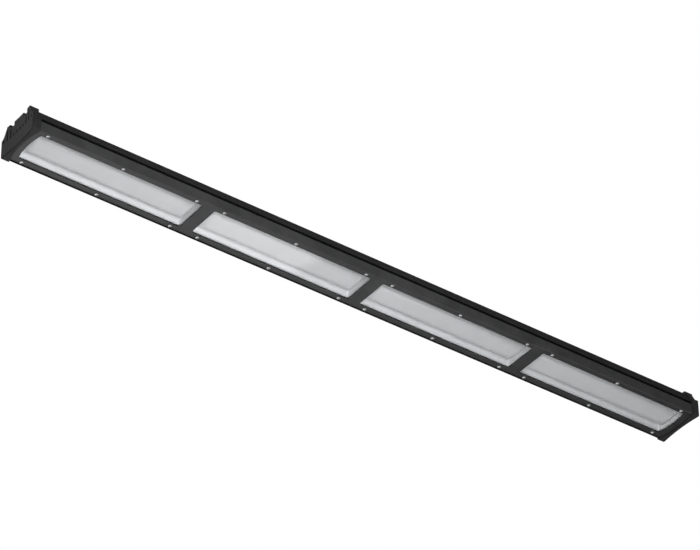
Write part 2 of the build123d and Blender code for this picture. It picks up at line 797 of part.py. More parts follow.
with BuildPart() as gland_dome_nut:
    with BuildSketch(Plane.XY.offset(dome_level)):
        with Locations(gland_centre):
            RegularPolygon(gland_across_flats / 2, 6, major_radius=False)
    extrude(amount=gland_dome_height)
    fillet(gland_dome_nut.faces().sort_by(Axis.Z)[-1].edges(), gland_dome_radius)
    with BuildSketch(Plane.XY.offset(dome_level)):
        with Locations(gland_centre):
            Circle(gland_thread / 2 + thread_gap)
    extrude(amount=neck_top - dome_level, mode=Mode.SUBTRACT)
    with BuildSketch(Plane.XY.offset(dome_level)):
        with Locations(gland_centre):
            Circle(gland_mouth / 2)
    extrude(amount=gland_dome_height, mode=Mode.SUBTRACT)
finish(gland_dome_nut, "gland_dome_nut")
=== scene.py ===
"""Dresses the linear industrial LED light: finishes, smooth optics and screw heads, stage, lights and camera.

Frame, in metres: X along the length, Y across, Z up as the light hangs, with the lit face down.
"""

from __future__ import annotations

import logging
import math
from dataclasses import dataclass, field
from enum import Enum
from functools import cache
from typing import NamedTuple

import bmesh
import bpy
from mathutils import Matrix, Vector

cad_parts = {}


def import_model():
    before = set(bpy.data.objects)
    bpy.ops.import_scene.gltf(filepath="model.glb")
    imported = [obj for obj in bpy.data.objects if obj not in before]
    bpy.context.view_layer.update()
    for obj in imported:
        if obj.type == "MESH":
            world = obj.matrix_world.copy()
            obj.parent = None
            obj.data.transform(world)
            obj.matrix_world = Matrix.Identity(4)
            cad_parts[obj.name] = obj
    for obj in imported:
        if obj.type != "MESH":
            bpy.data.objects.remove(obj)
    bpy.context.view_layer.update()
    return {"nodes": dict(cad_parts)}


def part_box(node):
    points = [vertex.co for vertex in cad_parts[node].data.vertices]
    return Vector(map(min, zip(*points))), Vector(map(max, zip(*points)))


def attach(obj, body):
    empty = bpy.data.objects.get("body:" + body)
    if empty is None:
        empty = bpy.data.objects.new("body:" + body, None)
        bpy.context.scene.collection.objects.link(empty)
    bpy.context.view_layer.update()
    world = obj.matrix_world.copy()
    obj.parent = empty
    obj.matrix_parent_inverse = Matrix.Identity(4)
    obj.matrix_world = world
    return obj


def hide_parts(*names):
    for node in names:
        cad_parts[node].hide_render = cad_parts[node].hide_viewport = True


LOG = logging.getLogger("industrial_light")
BODY = "root"
MM = 0.001
NEAR_ZERO = 1e-6

Triple = tuple[float, float, float]
Colour = tuple[float, float, float]
Feed = bpy.types.NodeSocket | float | Colour


class Pattern(Enum):
    """The relief that a moulded, sprayed or drawn surface carries."""

    SPRAYED = "sprayed"
    MOULDED = "moulded"
    DRAWN = "drawn"


class Direction(Enum):
    """The direction that drawn or turned lines run in, as the stretch of the pattern's coordinates."""

    ALONG_X = (0.02, 1.0, 1.0)
    ROUND_Z = (1.0, 1.0, 0.05)


class NodeDesk:
    """A node tree with short ways to place, join and feed its nodes."""

    def __init__(self, tree: bpy.types.NodeTree) -> None:
        """Works on that tree."""
        self.tree = tree

    def node(self, kind: str, **settings: object) -> bpy.types.Node:
        """Adds a node and sets its plain properties.

        Args:
            kind: the node's type name.
            settings: properties and their values.

        Returns:
            The new node.
        """
        made = self.tree.nodes.new(kind)
        for name, value in settings.items():
            setattr(made, name, value)
        return made

    def join(self, source: bpy.types.NodeSocket, target: bpy.types.NodeSocket) -> None:
        """Links two sockets."""
        self.tree.links.new(source, target)

    def feed(self, value: Feed, target: bpy.types.NodeSocket) -> None:
        """Links a socket to the target, or sets the target to a number or a colour.

        Args:
            value: a socket, a number or a colour.
            target: the socket that gets it.
        """
        if isinstance(value, bpy.types.NodeSocket):
            self.join(value, target)
        elif isinstance(value, tuple):
            target.default_value = (*value, 1.0)
        else:
            target.default_value = float(value)

    def maths(self, operation: str, a: Feed, b: Feed = 0.0, clamp: bool = False) -> bpy.types.NodeSocket:
        """Adds a Math node on sockets or numbers.

        Args:
            operation: the Math node's operation.
            a: a socket or a number.
            b: a socket or a number.
            clamp: keeps the result from 0 to 1.

        Returns:
            The result's socket.
        """
        made = self.node("ShaderNodeMath", operation=operation, use_clamp=clamp)
        for target, value in zip(made.inputs, (a, b)):
            self.feed(value, target)
        return made.outputs[0]

    def span(
        self, source: bpy.types.NodeSocket, low: float = 0.0, high: float = 1.0,
        start: float = 0.0, end: float = 1.0, curve: str = "LINEAR",
    ) -> bpy.types.NodeSocket:
        """Maps start to end onto low to high.

        Args:
            source: the socket that is mapped.
            low: the result at start.
            high: the result at end.
            start: where the change begins.
            end: where the change ends.
            curve: the Map Range node's interpolation.

        Returns:
            The result's socket.
        """
        made = self.node("ShaderNodeMapRange", interpolation_type=curve)
        for name, value in (("From Min", start), ("From Max", end), ("To Min", low), ("To Max", high)):
            made.inputs[name].default_value = value
        self.join(source, made.inputs["Value"])
        return made.outputs["Result"]

    def axes(self, vector: bpy.types.NodeSocket) -> bpy.types.NodeOutputs:
        """Splits a vector.

        Args:
            vector: the vector's socket.

        Returns:
            The sockets X, Y and Z.
        """
        made = self.node("ShaderNodeSeparateXYZ")
        self.join(vector, made.inputs["Vector"])
        return made.outputs

    def mixed(
        self, factor: bpy.types.NodeSocket, first: bpy.types.NodeSocket, second: bpy.types.NodeSocket,
    ) -> bpy.types.NodeSocket:
        """Mixes two shaders.

        Args:
            factor: the second shader's share.
            first: the first shader's socket.
            second: the second shader's socket.

        Returns:
            The mixed shader's socket.
        """
        made = self.node("ShaderNodeMixShader")
        for source, target in zip((factor, first, second), made.inputs):
            self.join(source, target)
        return made.outputs["Shader"]


class GroupBuilder(NodeDesk):
    """Builds one shader node group."""

    def __init__(self, name: str) -> None:
        """Starts an empty group.

        Args:
            name: the group's name.
        """
        super().__init__(bpy.data.node_groups.new(name, "ShaderNodeTree"))
        self.entry = self.node("NodeGroupInput")
        self.leave = self.node("NodeGroupOutput")

    def takes(self, name: str, default: float, low: float = 0.0, high: float = 10000.0) -> None:
        """Adds a number input with its default and range."""
        socket = self.tree.interface.new_socket(name=name, in_out="INPUT", socket_type="NodeSocketFloat")
        socket.default_value, socket.min_value, socket.max_value = default, low, high

    def takes_vector(self, name: str) -> None:
        """Adds a vector input."""
        self.tree.interface.new_socket(name=name, in_out="INPUT", socket_type="NodeSocketVector")

    def gives(self, name: str) -> None:
        """Adds a number output."""
        self.tree.interface.new_socket(name=name, in_out="OUTPUT", socket_type="NodeSocketFloat")

    def noise(self, vector: bpy.types.NodeSocket, scale: Feed, detail: float, rough: float) -> bpy.types.NodeSocket:
        """Adds a Noise texture on those coordinates.

        Args:
            vector: the coordinates' socket.
            scale: a socket or a number, in features per metre.
            detail: octaves.
            rough: how strong the fine octaves are.

        Returns:
            The factor's socket.
        """
        made = self.node("ShaderNodeTexNoise")
        self.join(vector, made.inputs["Vector"])
        for name, value in (("Scale", scale), ("Detail", detail), ("Roughness", rough)):
            self.feed(value, made.inputs[name])
        return made.outputs["Fac"]

    def cells(self, vector: bpy.types.NodeSocket, scale: Feed, feature: str) -> bpy.types.Node:
        """Adds a Voronoi texture on those coordinates.

        Args:
            vector: the coordinates' socket.
            scale: a socket or a number, in cells per metre.
            feature: the Voronoi node's feature.

        Returns:
            The texture's node.
        """
        made = self.node("ShaderNodeTexVoronoi", feature=feature)
        self.join(vector, made.inputs["Vector"])
        self.feed(scale, made.inputs["Scale"])
        return made


@dataclass(frozen=True)
class ReliefRecipe:
    """The relief of one pattern: how its parts compare with the pattern's scale, and their shares of the height."""

    smoothness: float = 0.35
    cell_share: float = 0.35
    fine_ratio: float = 1.7
    mottle_ratio: float = 0.02
    streak_ratio: float = 0.12
    streak_share: float = 0.3

    def drawn(self, group: GroupBuilder) -> tuple[bpy.types.NodeSocket, bpy.types.NodeSocket]:
        """Fine lines over slower streaks.

        Args:
            group: the group that gets them.

        Returns:
            The sockets of the height and the mottle.
        """
        place, scale = group.entry.outputs["Place"], group.entry.outputs["Scale"]
        lines = group.noise(place, scale, detail=3.0, rough=0.6)
        streaks = group.noise(place, group.maths("MULTIPLY", scale, self.streak_ratio), detail=2.0, rough=0.5)
        height = group.maths(
            "ADD",
            group.maths("MULTIPLY", lines, 1.0 - self.streak_share),
            group.maths("MULTIPLY", streaks, self.streak_share),
        )
        return height, streaks

    def celled(self, group: GroupBuilder) -> tuple[bpy.types.NodeSocket, bpy.types.NodeSocket]:
        """Soft cells with fine grain, and a slow mottle.

        Args:
            group: the group that gets them.

        Returns:
            The sockets of the height and the mottle.
        """
        place, scale = group.entry.outputs["Place"], group.entry.outputs["Scale"]
        cells = group.cells(place, scale, "SMOOTH_F1")
        cells.inputs["Smoothness"].default_value = self.smoothness
        fine = group.noise(place, group.maths("MULTIPLY", scale, self.fine_ratio), detail=2.0, rough=0.55)
        height = group.maths(
            "ADD",
            group.maths("MULTIPLY", cells.outputs["Distance"], self.cell_share),
            group.maths("MULTIPLY", fine, 1.0 - self.cell_share),
        )
        mottle = group.noise(place, group.maths("MULTIPLY", scale, self.mottle_ratio), detail=4.0, rough=0.6)
        return height, mottle


RELIEFS = {
    Pattern.SPRAYED: ReliefRecipe(smoothness=0.8, cell_share=0.55),
    Pattern.MOULDED: ReliefRecipe(),
    Pattern.DRAWN: ReliefRecipe(),
}


@cache
def relief_group(pattern: Pattern) -> bpy.types.NodeTree:
    """The relief of a sprayed, moulded or drawn surface, as a height and a mottled mask.

    Args:
        pattern: which relief.

    Returns:
        The node group, built once.
    """
    group = GroupBuilder(f"{pattern.value}_relief")
    group.takes_vector("Place")
    group.takes("Scale", 1500.0)
    group.gives("Height")
    group.gives("Mottle")
    recipe = RELIEFS[pattern]
    height, mottle = recipe.drawn(group) if pattern is Pattern.DRAWN else recipe.celled(group)
    group.join(height, group.leave.inputs["Height"])
    group.join(mottle, group.leave.inputs["Mottle"])
    return group.tree


@dataclass(frozen=True)
class DustRecipe:
    """Fine dust and handling marks: a thin patchy film and a few small specks, as one mask."""

    film_scale: float = 14.0
    film_floor: float = 0.48
    film_gain: float = 3.0
    film_share: float = 0.7
    speck_scale: float = 260.0
    speck_size: float = 0.07
    speck_share: float = 0.5

    def build(self) -> bpy.types.NodeTree:
        """Builds the node group.

        Returns:
            The node group.
        """
        group = GroupBuilder("dust_and_marks")
        group.takes_vector("Place")
        group.takes("Amount", 0.3, 0.0, 1.0)
        group.gives("Mask")
        place = group.entry.outputs["Place"]
        film = group.noise(place, self.film_scale, detail=5.0, rough=0.65)
        above = group.maths("SUBTRACT", film, self.film_floor, clamp=True)
        patches = group.maths("MULTIPLY", above, self.film_gain, clamp=True)
        specks = group.cells(place, self.speck_scale, "F1")
        dots = group.maths("LESS_THAN", specks.outputs["Distance"], self.speck_size)
        both = group.maths(
            "ADD",
            group.maths("MULTIPLY", patches, self.film_share),
            group.maths("MULTIPLY", dots, self.speck_share),
            clamp=True,
        )
        group.join(group.maths("MULTIPLY", both, group.entry.outputs["Amount"]), group.leave.inputs["Mask"])
        return group.tree


@cache
def dust_group() -> bpy.types.NodeTree:
    """The dust's node group, built once."""
    return DustRecipe().build()


class MaterialDesk(NodeDesk):
    """A new material with its Principled shader and short ways to build its surface."""

    def __init__(self, name: str) -> None:
        """Starts a node material.

        Args:
            name: the material's name.
        """
        self.material = bpy.data.materials.new(name)
        self.material.use_nodes = True
        super().__init__(self.material.node_tree)
        self.shader = self.tree.nodes["Principled BSDF"]
        self.output = self.tree.nodes["Material Output"]
        self.place = self.node("ShaderNodeTexCoord").outputs["Object"]

    def stretched(self, scale: Triple) -> bpy.types.NodeSocket:
        """Object coordinates multiplied by a scale along each axis.

        Args:
            scale: the scale along X, Y and Z.

        Returns:
            The coordinates' socket.
        """
        mapping = self.node("ShaderNodeMapping")
        mapping.inputs["Scale"].default_value = scale
        self.join(self.place, mapping.inputs["Vector"])
        return mapping.outputs["Vector"]

    def group(self, tree: bpy.types.NodeTree, place: bpy.types.NodeSocket, **values: float) -> bpy.types.NodeOutputs:
        """Places a shader group on those coordinates with its values.

        Args:
            tree: the node group.
            place: the coordinates' socket.
            values: numbers by input name.

        Returns:
            The group's output sockets.
        """
        made = self.node("ShaderNodeGroup", node_tree=tree)
        self.join(place, made.inputs["Place"])
        for name, value in values.items():
            made.inputs[name].default_value = value
        return made.outputs

    def dust(self, amount: float) -> bpy.types.NodeSocket:
        """The mask of dust and handling marks."""
        return self.group(dust_group(), self.place, Amount=amount)["Mask"]

    def blend(self, factor: bpy.types.NodeSocket, a: Feed, b: Feed) -> bpy.types.NodeSocket:
        """Mixes two colours.

        Args:
            factor: the second colour's share.
            a: the first colour or its socket.
            b: the second colour or its socket.

        Returns:
            The mixed colour's socket.
        """
        made = self.node("ShaderNodeMix", data_type="RGBA")
        for value, name in ((factor, "Factor"), (a, "A"), (b, "B")):
            self.feed(value, made.inputs[name])
        return made.outputs["Result"]

    def paint(self, mask: bpy.types.NodeSocket, clean: Feed, dusty: Feed) -> bpy.types.NodeSocket:
        """Blends the clean colour and the dusty one into the shader's Base Color.

        Args:
            mask: where the dust lies.
            clean: the clean colour or its socket.
            dusty: the dusty colour or its socket.

        Returns:
            The blended colour's socket.
        """
        colour = self.blend(mask, clean, dusty)
        self.join(colour, self.shader.inputs["Base Color"])
        return colour

    def roughen(self, source: bpy.types.NodeSocket, low: float, high: float) -> bpy.types.NodeSocket:
        """Feeds a mask to the shader's Roughness.

        Args:
            source: the mask's socket.
            low: the roughness where the mask is 0.
            high: the roughness where the mask is 1.

        Returns:
            The roughness socket.
        """
        rough = self.span(source, low, high)
        self.join(rough, self.shader.inputs["Roughness"])
        return rough

    def bump(self, height: bpy.types.NodeSocket, strength: float, distance: float) -> None:
        """Feeds a height to the shader's Normal through a Bump node.

        Args:
            height: the height's socket.
            strength: the Bump node's strength.
            distance: the relief's depth.
        """
        made = self.node("ShaderNodeBump")
        made.inputs["Strength"].default_value = strength
        made.inputs["Distance"].default_value = distance
        self.join(height, made.inputs["Height"])
        self.join(made.outputs["Normal"], self.shader.inputs["Normal"])

    def fixed(self, **values: float) -> None:
        """Sets constants on the shader's own sockets, with _ for a space in their names."""
        for name, value in values.items():
            self.shader.inputs[name.replace("_", " ")].default_value = value

    def end(self, surface: bpy.types.NodeSocket) -> bpy.types.Material:
        """Joins a shader to the material's surface and returns the material."""
        self.join(surface, self.output.inputs["Surface"])
        return self.material


def lighter(colour: Colour, share: float) -> Colour:
    """That colour moved towards white by a share."""
    return tuple(c + (1.0 - c) * share for c in colour)


def darker(colour: Colour, share: float) -> Colour:
    """That colour moved towards black by a share."""
    return tuple(c * (1.0 - share) for c in colour)


class ShadeZone(NamedTuple):
    """A level of the coat: the share of its colour left there, as painted shade, and how dull it is, which also turns
    it metallic so that its gloss goes dark as painted shade.
    """

    level: float
    tone: float
    dullness_and_shade: float


@dataclass(frozen=True)
class CoatedFinish:
    """A sprayed or moulded opaque surface: fine relief, uneven gloss, and a thin film of dust."""

    name: str
    colour: Colour
    pattern: Pattern
    grain: float
    relief: float
    rough: tuple[float, float]
    dust: float = 0.2
    specular: float = 0.5
    # Levels of painted shade and dullness up the part; none leaves the coat even.
    shade_zones: tuple[ShadeZone, ...] = ()
    lip_place: float = 39.0 * MM
    # The share of the colour left on the inner faces of the outer lips: painted shade in that recess.
    lip_shade: float = 0.1
    lip_turn: float = -0.01
    mottle: tuple[float, float] = (0.14, 0.03)
    dusty: float = 0.16

    def build(self) -> bpy.types.Material:
        """Builds the finish.

        Returns:
            The finished material.
        """
        desk = MaterialDesk(self.name)
        relief = desk.group(relief_group(self.pattern), desk.place, Scale=self.grain)
        dark, light = self.mottle
        tone = desk.blend(relief["Mottle"], darker(self.colour, dark), lighter(self.colour, light))
        colour = desk.paint(desk.dust(self.dust), tone, lighter(self.colour, self.dusty))
        rough = desk.roughen(relief["Mottle"], *self.rough)
        desk.bump(relief["Height"], 1.0, self.relief)
        desk.fixed(Specular_IOR_Level=self.specular)
        if self.shade_zones:
            self.shade(desk, colour, rough)
        return desk.material

    def shade(self, desk: MaterialDesk, colour: bpy.types.NodeSocket, rough: bpy.types.NodeSocket) -> None:
        """Paints shade into the coat by level, and onto the inner faces of the outer lips, and dulls it in both
        places.

        Args:
            desk: the material's desk.
            colour: the coat's colour socket.
            rough: the coat's roughness socket.
        """
        place = desk.axes(desk.place)
        top = self.shade_zones[-1].level
        ramp = desk.node("ShaderNodeValToRGB")
        desk.join(desk.span(place["Z"], end=top), ramp.inputs["Fac"])
        stops = ramp.color_ramp.elements
        while len(stops) < len(self.shade_zones):
            stops.new(1.0)
        for stop, zone in zip(list(stops), self.shade_zones):
            stop.position = zone.level / top
            stop.color = (zone.tone, zone.dullness_and_shade, 0.0, 1.0)
        shares = desk.node("ShaderNodeSeparateColor")
        desk.join(ramp.outputs["Color"], shares.inputs["Color"])
        inner = self.inner_lips(desk, place["Y"])
        # Painted shade: the share of the colour left by level, cut to the lip share on the inner lip faces.
        tone = desk.maths("MULTIPLY", shares.outputs["Red"], desk.span(inner, 1.0, self.lip_shade))
        shaded_colour = desk.node("ShaderNodeVectorMath", operation="SCALE")
        desk.join(colour, shaded_colour.inputs[0])
        desk.join(tone, shaded_colour.inputs["Scale"])
        desk.join(shaded_colour.outputs["Vector"], desk.shader.inputs["Base Color"])
        # Dullness by level and on the inner lips; it also feeds Metallic, which on this near-black coat darkens the
        # gloss: painted shade.
        dull = desk.maths("MAXIMUM", shares.outputs["Green"], inner)
        desk.join(desk.maths("MAXIMUM", rough, dull), desk.shader.inputs["Roughness"])
        desk.join(dull, desk.shader.inputs["Metallic"])

    def inner_lips(self, desk: MaterialDesk, across: bpy.types.NodeSocket) -> bpy.types.NodeSocket:
        """A mask of the faces beyond the lip's place that look towards the middle of the light.

        Args:
            desk: the material's desk.
            across: the socket of the place across the light.

        Returns:
            The mask's socket.
        """
        turn = desk.axes(desk.node("ShaderNodeNewGeometry").outputs["Normal"])
        inward = desk.maths("LESS_THAN", desk.maths("MULTIPLY", turn["Y"], across), self.lip_turn)
        outer = desk.maths("GREATER_THAN", desk.maths("ABSOLUTE", across), self.lip_place)
        return desk.maths("MULTIPLY", inward, outer)


@dataclass(frozen=True)
class DrawnMetal:
    """Bare metal with drawn, turned or brushed lines and slight staining."""

    name: str
    colour: Colour
    direction: Direction
    grain: float
    rough: tuple[float, float]
    streaks: tuple[float, float] = (0.25, 0.1)
    dust: float = 0.25
    stain: float = 0.4
    relief: float = 0.00003
    relief_strength: float = 0.5

    def build(self) -> bpy.types.Material:
        """Builds the finish.

        Returns:
            The finished material.
        """
        desk = MaterialDesk(self.name)
        place = desk.stretched(self.direction.value)
        height = desk.group(relief_group(Pattern.DRAWN), place, Scale=self.grain)["Height"]
        dark, light = self.streaks
        tone = desk.blend(height, darker(self.colour, dark), lighter(self.colour, light))
        desk.paint(desk.dust(self.dust), tone, darker(self.colour, self.stain))
        desk.roughen(height, *self.rough)
        desk.bump(height, self.relief_strength, self.relief)
        desk.fixed(Metallic=1.0)
        return desk.material


@dataclass(frozen=True)
class ClearCover:
    """A clear polished sheet that lets the lamps through to what lies behind it."""

    name: str
    tint: Colour
    smear: float
    smear_rough: float = 0.06
    smear_shade: float = 0.08
    index: float = 1.49

    def build(self) -> bpy.types.Material:
        """Builds the finish.

        Returns:
            The finished material.
        """
        desk = MaterialDesk(self.name)
        mask = desk.dust(self.smear)
        desk.roughen(mask, 0.0, self.smear_rough)
        desk.paint(mask, self.tint, darker(self.tint, self.smear_shade))
        desk.fixed(Transmission_Weight=1.0, IOR=self.index, Metallic=0.0)
        path = desk.node("ShaderNodeLightPath").outputs
        either = desk.maths("MAXIMUM", path["Is Shadow Ray"], path["Is Diffuse Ray"])
        through = desk.node("ShaderNodeBsdfTransparent")
        desk.feed(self.tint, through.inputs["Color"])
        return desk.end(desk.mixed(either, desk.shader.outputs["BSDF"], through.outputs["BSDF"]))


@dataclass(frozen=True)
class PrintedBoard:
    """A coated circuit board: solder resist over faint copper runs, with plated pads."""

    name: str
    resist: Colour
    copper_tint: Colour
    run_scale: Triple
    run_width: float = 0.04
    resist_shade: float = 0.06
    grain: float = 2500.0
    dust: float = 0.2
    dusty: float = 0.15
    rough: tuple[float, float] = (0.28, 0.42)
    relief: float = 0.00004
    relief_strength: float = 0.4

    def build(self) -> bpy.types.Material:
        """Builds the finish.

        Returns:
            The finished material.
        """
        desk = MaterialDesk(self.name)
        runs = desk.node("ShaderNodeTexBrick", offset=0.5, squash=1.0)
        desk.join(desk.stretched(self.run_scale), runs.inputs["Vector"])
        values = {
            "Color1": self.resist,
            "Color2": darker(self.resist, self.resist_shade),
            "Mortar": self.copper_tint,
            "Mortar Size": self.run_width,
            "Scale": 1.0,
        }
        for name, value in values.items():
            desk.feed(value, runs.inputs[name])
        relief = desk.group(relief_group(Pattern.MOULDED), desk.place, Scale=self.grain)
        desk.paint(desk.dust(self.dust), runs.outputs["Color"], lighter(self.resist, self.dusty))
        desk.roughen(relief["Mottle"], *self.rough)
        desk.bump(runs.outputs["Fac"], self.relief_strength, self.relief)
        return desk.material


@dataclass(frozen=True)
class BandedFinish:
    """A small part whose colour changes in bands along one axis, such as cores, tapes and wire covers."""

    name: str
    base: Colour
    band: Colour
    axis: int
    pitch: float
    share: float
    rough: tuple[float, float] = (0.4, 0.55)
    band_core: float = 0.85
    grain: float = 3000.0
    dust: float = 0.2
    dusty: float = 0.2
    relief: float = 0.00003
    relief_strength: float = 0.6

    def build(self) -> bpy.types.Material:
        """Builds the finish.

        Returns:
            The finished material.
        """
        desk = MaterialDesk(self.name)
        cycle = desk.maths("PINGPONG", desk.axes(desk.place)[self.axis], self.pitch / 2)
        width = self.pitch / 2 * self.share
        stripe = desk.span(cycle, start=width * self.band_core, end=width, curve="SMOOTHSTEP")
        relief = desk.group(relief_group(Pattern.MOULDED), desk.place, Scale=self.grain)
        tone = desk.blend(stripe, self.band, self.base)
        desk.paint(desk.dust(self.dust), tone, lighter(self.base, self.dusty))
        desk.roughen(relief["Mottle"], *self.rough)
        desk.bump(relief["Height"], self.relief_strength, self.relief)
        return desk.material


Finish = CoatedFinish | DrawnMetal | ClearCover | PrintedBoard | BandedFinish

# Painted shade on the housing by height: a near-black, dull, metallic band over the side groove, about 19 to 23 mm up,
# and a darker, duller band over the fins above it.
HOUSING_SHADE_ZONES = (
    ShadeZone(level=0.0, tone=1.0, dullness_and_shade=0.0),
    ShadeZone(level=0.0188, tone=1.0, dullness_and_shade=0.0),
    ShadeZone(level=0.0193, tone=0.02, dullness_and_shade=1.0),
    ShadeZone(level=0.0229, tone=0.02, dullness_and_shade=1.0),
    ShadeZone(level=0.0234, tone=0.75, dullness_and_shade=0.6),
    ShadeZone(level=0.05, tone=0.75, dullness_and_shade=0.6),
)


@dataclass
class FinishShelf:
    """Every finish of the light, built once and given out by name."""

    made: dict[str, bpy.types.Material] = field(default_factory=dict)

    def recipes(self) -> list[Finish]:
        """The finishes of the light.

        Returns:
            One recipe for each finish.
        """
        sprayed, moulded = Pattern.SPRAYED, Pattern.MOULDED
        return [
            CoatedFinish(
                "housing_coat", (0.018, 0.0185, 0.0195), sprayed, 1400.0, 0.00004, (0.42, 0.55),
                dust=0.12, specular=0.42, shade_zones=HOUSING_SHADE_ZONES,
            ),
            CoatedFinish(
                "frame_coat", (0.0125, 0.013, 0.0135), sprayed, 1500.0, 0.00002, (0.32, 0.42), dust=0.1, specular=0.3,
            ),
            CoatedFinish(
                "cap_moulding", (0.0125, 0.0125, 0.013), moulded, 1900.0, 0.00003, (0.5, 0.62),
                dust=0.1, specular=0.09,
            ),
            CoatedFinish("gland_moulding", (0.016, 0.016, 0.017), moulded, 2400.0, 0.00003, (0.4, 0.5), dust=0.15),
            CoatedFinish("white_tray", (0.77, 0.775, 0.78), moulded, 2000.0, 0.00002, (0.3, 0.4), dust=0.05),
            CoatedFinish("frosted_optic", (0.75, 0.755, 0.765), moulded, 2600.0, 0.00003, (0.28, 0.38), dust=0.05),
            CoatedFinish(
                "seal_rubber", (0.022, 0.022, 0.023), moulded, 2600.0, 0.00005, (0.75, 0.88), dust=0.3, specular=0.3,
            ),
            CoatedFinish("core_ferrite", (0.045, 0.045, 0.05), moulded, 3200.0, 0.00006, (0.7, 0.85), dust=0.25),
            CoatedFinish("terminal_moulding", (0.6, 0.6, 0.56), moulded, 2200.0, 0.00003, (0.4, 0.5), dust=0.2),
            CoatedFinish("source_lens", (0.8, 0.62, 0.16), moulded, 3600.0, 0.00002, (0.2, 0.3), dust=0.05),
            DrawnMetal("screw_steel", (0.42, 0.42, 0.43), Direction.ROUND_Z, 2600.0, (0.24, 0.38)),
            DrawnMetal("driver_sheet", (0.68, 0.69, 0.70), Direction.ALONG_X, 2200.0, (0.28, 0.42)),
            DrawnMetal("terminal_brass", (0.72, 0.55, 0.26), Direction.ROUND_Z, 2600.0, (0.25, 0.4)),
            ClearCover("clear_cover", (0.985, 0.99, 0.995), smear=0.25),
            PrintedBoard("white_board", (0.74, 0.75, 0.73), (0.6, 0.57, 0.48), (86.0, 125.0, 86.0)),
            PrintedBoard("green_board", (0.03, 0.16, 0.08), (0.08, 0.3, 0.14), (160.0, 420.0, 160.0)),
            BandedFinish("winding_tape", (0.62, 0.46, 0.08), (0.5, 0.3, 0.05), axis=2, pitch=0.0016, share=0.3),
            BandedFinish("capacitor_sleeve", (0.03, 0.05, 0.12), (0.55, 0.57, 0.6), axis=1, pitch=0.0152, share=0.16),
            BandedFinish("supply_cover", (0.16, 0.08, 0.05), (0.07, 0.12, 0.3), axis=1, pitch=0.0112, share=0.25),
            BandedFinish("feed_cover", (0.4, 0.05, 0.04), (0.03, 0.03, 0.03), axis=1, pitch=0.012, share=0.3),
        ]

    def build(self) -> None:
        """Builds every finish."""
        for recipe in self.recipes():
            self.made[recipe.name] = recipe.build()
            LOG.info("finish %s", recipe.name)

    def dress(self, thing: bpy.types.Object, finish: str) -> None:
        """Gives an object one finish in every material slot."""
        thing.data.materials.clear()
        thing.data.materials.append(self.made[finish])


def settle(mesh: bmesh.types.BMesh, name: str, smooth: bool, sharp_degrees: float = 40.0) -> bpy.types.Object:
    """Turns a bmesh into an object at the origin, with outward faces.

    Args:
        mesh: the finished bmesh, which is freed.
        name: the object's name.
        smooth: whether faces are shaded smooth.
        sharp_degrees: edges bent more than this stay sharp.

    Returns:
        The new object.
    """
    bmesh.ops.remove_doubles(mesh, verts=mesh.verts, dist=1e-7)
    bmesh.ops.recalc_face_normals(mesh, faces=mesh.faces)
    for face in mesh.faces:
        face.smooth = smooth
    limit = math.radians(sharp_degrees)
    for edge in mesh.edges:
        edge.smooth = not (len(edge.link_faces) == 2 and edge.calc_face_angle(0.0) > limit)
    data = bpy.data.meshes.new(name)
    mesh.to_mesh(data)
    mesh.free()
    thing = bpy.data.objects.new(name, data)
    bpy.context.scene.collection.objects.link(thing)
    return thing


def verts_of(geometry: list[bmesh.types.BMVert | bmesh.types.BMEdge | bmesh.types.BMFace]) -> list[bmesh.types.BMVert]:
    """The vertices in a mixed list of geometry."""
    return [g for g in geometry if isinstance(g, bmesh.types.BMVert)]


@dataclass
class OpticSet:
    """The frosted domed bars behind the covers, one for each module, hollow and open at the back."""

    shelf: FinishShelf
    count: int = 4
    wall: float = 1.5 * MM
    shoulder: float = 11.6 * MM
    shoulder_steps: int = 14
    end_ease: float = 0.28

    def build(self) -> None:
        """Builds and dresses the optics."""
        for number in range(1, self.count + 1):
            node = f"optic_bar_{number}"
            bar = self.bar(f"domed_optic_{number}", *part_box(node))
            self.shelf.dress(bar, "frosted_optic")
            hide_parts(node)
            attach(bar, BODY)
            LOG.info("piece %s", bar.name)

    def bar(self, name: str, low: Vector, high: Vector) -> bpy.types.Object:
        """One bar that fills its CAD node's box, its shoulders rounded and its top flat.

        Args:
            name: the piece's name.
            low: the box's lowest corner.
            high: the box's highest corner.

        Returns:
            The piece.
        """
        mesh = bmesh.new()
        bmesh.ops.create_grid(mesh, x_segments=1, y_segments=1, size=0.5)
        size = high - low
        bmesh.ops.scale(mesh, vec=(size.x, size.y, 1.0), verts=mesh.verts)
        top = mesh.faces[:]
        for step in range(self.shoulder_steps):
            here, there = (math.pi / 2 * k / self.shoulder_steps for k in (step, step + 1))
            inward = self.shoulder * (math.cos(here) - math.cos(there))
            rise = size.z * (math.sin(there) - math.sin(here))
            bmesh.ops.inset_region(
                mesh, faces=top, thickness=inward, depth=rise, use_boundary=True, use_even_offset=True,
            )
            for vert in top[0].verts:
                vert.co.x += math.copysign(inward * self.end_ease, vert.co.x)
        bmesh.ops.scale(mesh, vec=(1.0, 1.0, -1.0), verts=mesh.verts)
        bmesh.ops.translate(mesh, vec=((low.x + high.x) / 2, (low.y + high.y) / 2, high.z), verts=mesh.verts)
        piece = settle(mesh, name, smooth=True, sharp_degrees=50.0)
        wall = piece.modifiers.new("wall", "SOLIDIFY")
        wall.thickness, wall.offset = self.wall, -1.0
        return piece


